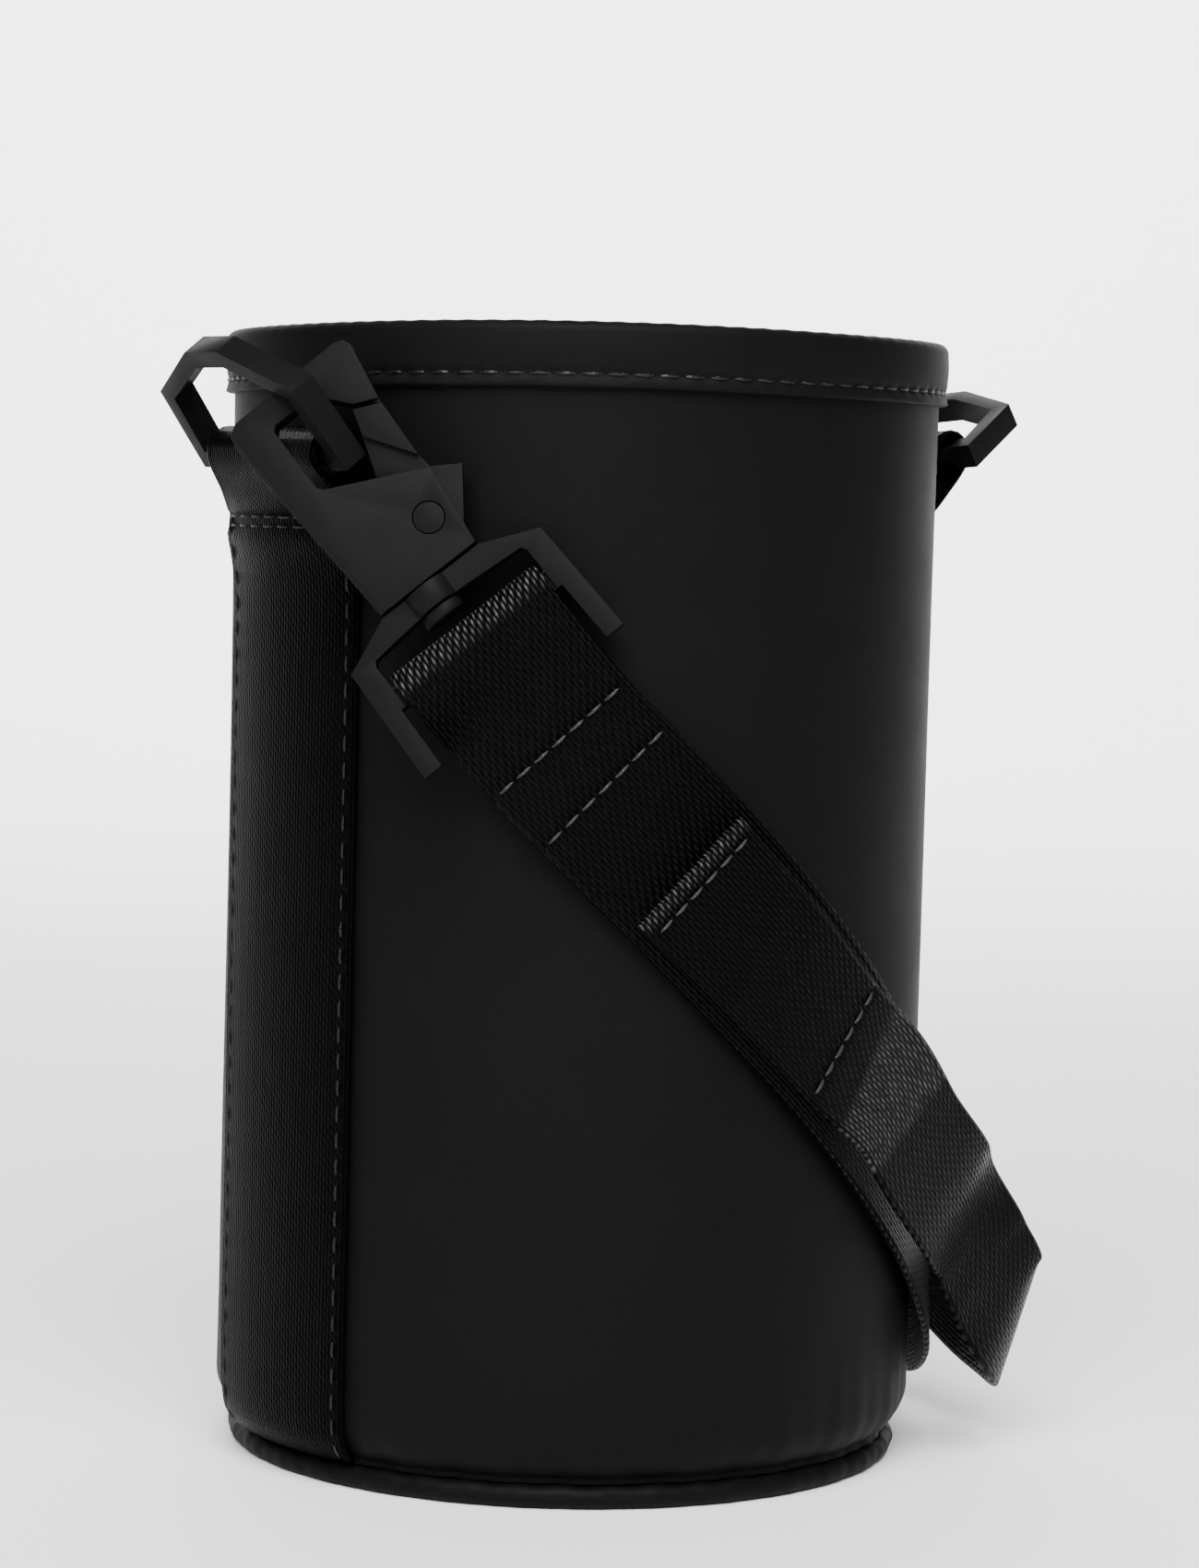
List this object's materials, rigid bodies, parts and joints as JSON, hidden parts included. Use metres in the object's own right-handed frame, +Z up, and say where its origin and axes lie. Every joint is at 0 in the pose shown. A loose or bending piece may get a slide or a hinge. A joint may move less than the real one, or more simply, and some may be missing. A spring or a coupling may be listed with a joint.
{
  "type": "cylindrical rope storage bag with clip-on webbing strap",
  "caption": "Small black cylindrical rope bag of coated cloth, with piped base, folded rim hem, side webbings, hardware rings and a webbing strap that ends in swivel snap hooks.",
  "frame": {"origin": "centre of the bag's base, on the surface that it stands on", "axes": "+Z up along the bag's axis, -Y towards the bag's front, +X towards its right side, with the side webbings and rings at -X and +X"},
  "size_m": [0.1761, 0.132, 0.1985],
  "materials": {
    "coated_cloth": "matte soft coated cloth with a very fine grain",
    "black_webbing": "woven nylon webbing with a soft directional sheen",
    "black_hardware": "matte dark powder coat, slightly bluish",
    "base_board": "plain matte board",
    "filler_cord": "dull twisted filler",
    "spring_wire": "plain drawn wire"
  },
  "bodies": {
    "bag": {"front_panel": "coated_cloth", "back_panel": "coated_cloth", "rim_hem": "coated_cloth", "base_panel": "coated_cloth", "base_board": "base_board", "base_seam_tape": "black_webbing", "piping_cover": "coated_cloth", "piping_cord": "filler_cord", "side_webbing_left": "black_webbing", "side_webbing_right": "black_webbing", "strap_webbing": "black_webbing", "strap_top_layer": "black_webbing", "swivel_frame_left": "black_hardware", "swivel_frame_right": "black_hardware"},
    "ring_left": {"ring_left": "black_hardware"},
    "ring_right": {"ring_right": "black_hardware"},
    "hook_left": {"hook_body_left": "black_hardware", "swivel_stud_left": "black_hardware", "gate_pin_left": "black_hardware", "gate_spring_left": "spring_wire"},
    "gate_left": {"gate_left": "black_hardware"},
    "hook_right": {"hook_body_right": "black_hardware", "swivel_stud_right": "black_hardware", "gate_pin_right": "black_hardware", "gate_spring_right": "spring_wire"},
    "gate_right": {"gate_right": "black_hardware"}
  },
  "joints": [
    {"name": "ring_left_swing", "type": "hinge", "parent": "bag", "child": "ring_left", "pos_m": [-0.0693, -0.0063, 0.1756], "axis": [-0.022, -0.9997, -0.0095], "range_deg": [0, 28]},
    {"name": "ring_right_swing", "type": "hinge", "parent": "bag", "child": "ring_right", "pos_m": [0.0701, -0.0013, 0.1785], "axis": [-0.1249, 0.9888, -0.0815], "range_deg": [0, 35]},
    {"name": "hook_left_swivel", "type": "hinge", "parent": "bag", "child": "hook_left", "pos_m": [-0.06066, -0.03735, 0.15405], "axis": [-0.4233, 0.4905, 0.7617], "range_deg": [0, 6]},
    {"name": "hook_right_swivel", "type": "hinge", "parent": "bag", "child": "hook_right", "pos_m": [0.07607, 0.02055, 0.15078], "axis": [-0.0392, -0.0226, 0.999], "range_deg": [-8, 0]},
    {"name": "gate_left_open", "type": "hinge", "parent": "hook_left", "child": "gate_left", "pos_m": [-0.05916, -0.03671, 0.16511], "axis": [-0.6413, -0.7561, 0.1305], "range_deg": [0, 1.5], "stiffness_Nm_per_rad": 0.01, "springref_deg": -28.65},
    {"name": "gate_right_open", "type": "hinge", "parent": "hook_right", "child": "gate_right", "pos_m": [0.07385, 0.02782, 0.15897], "axis": [0.9681, 0.2468, 0.0436], "range_deg": [0, 15], "stiffness_Nm_per_rad": 0.01, "springref_deg": -28.65}
  ]
}
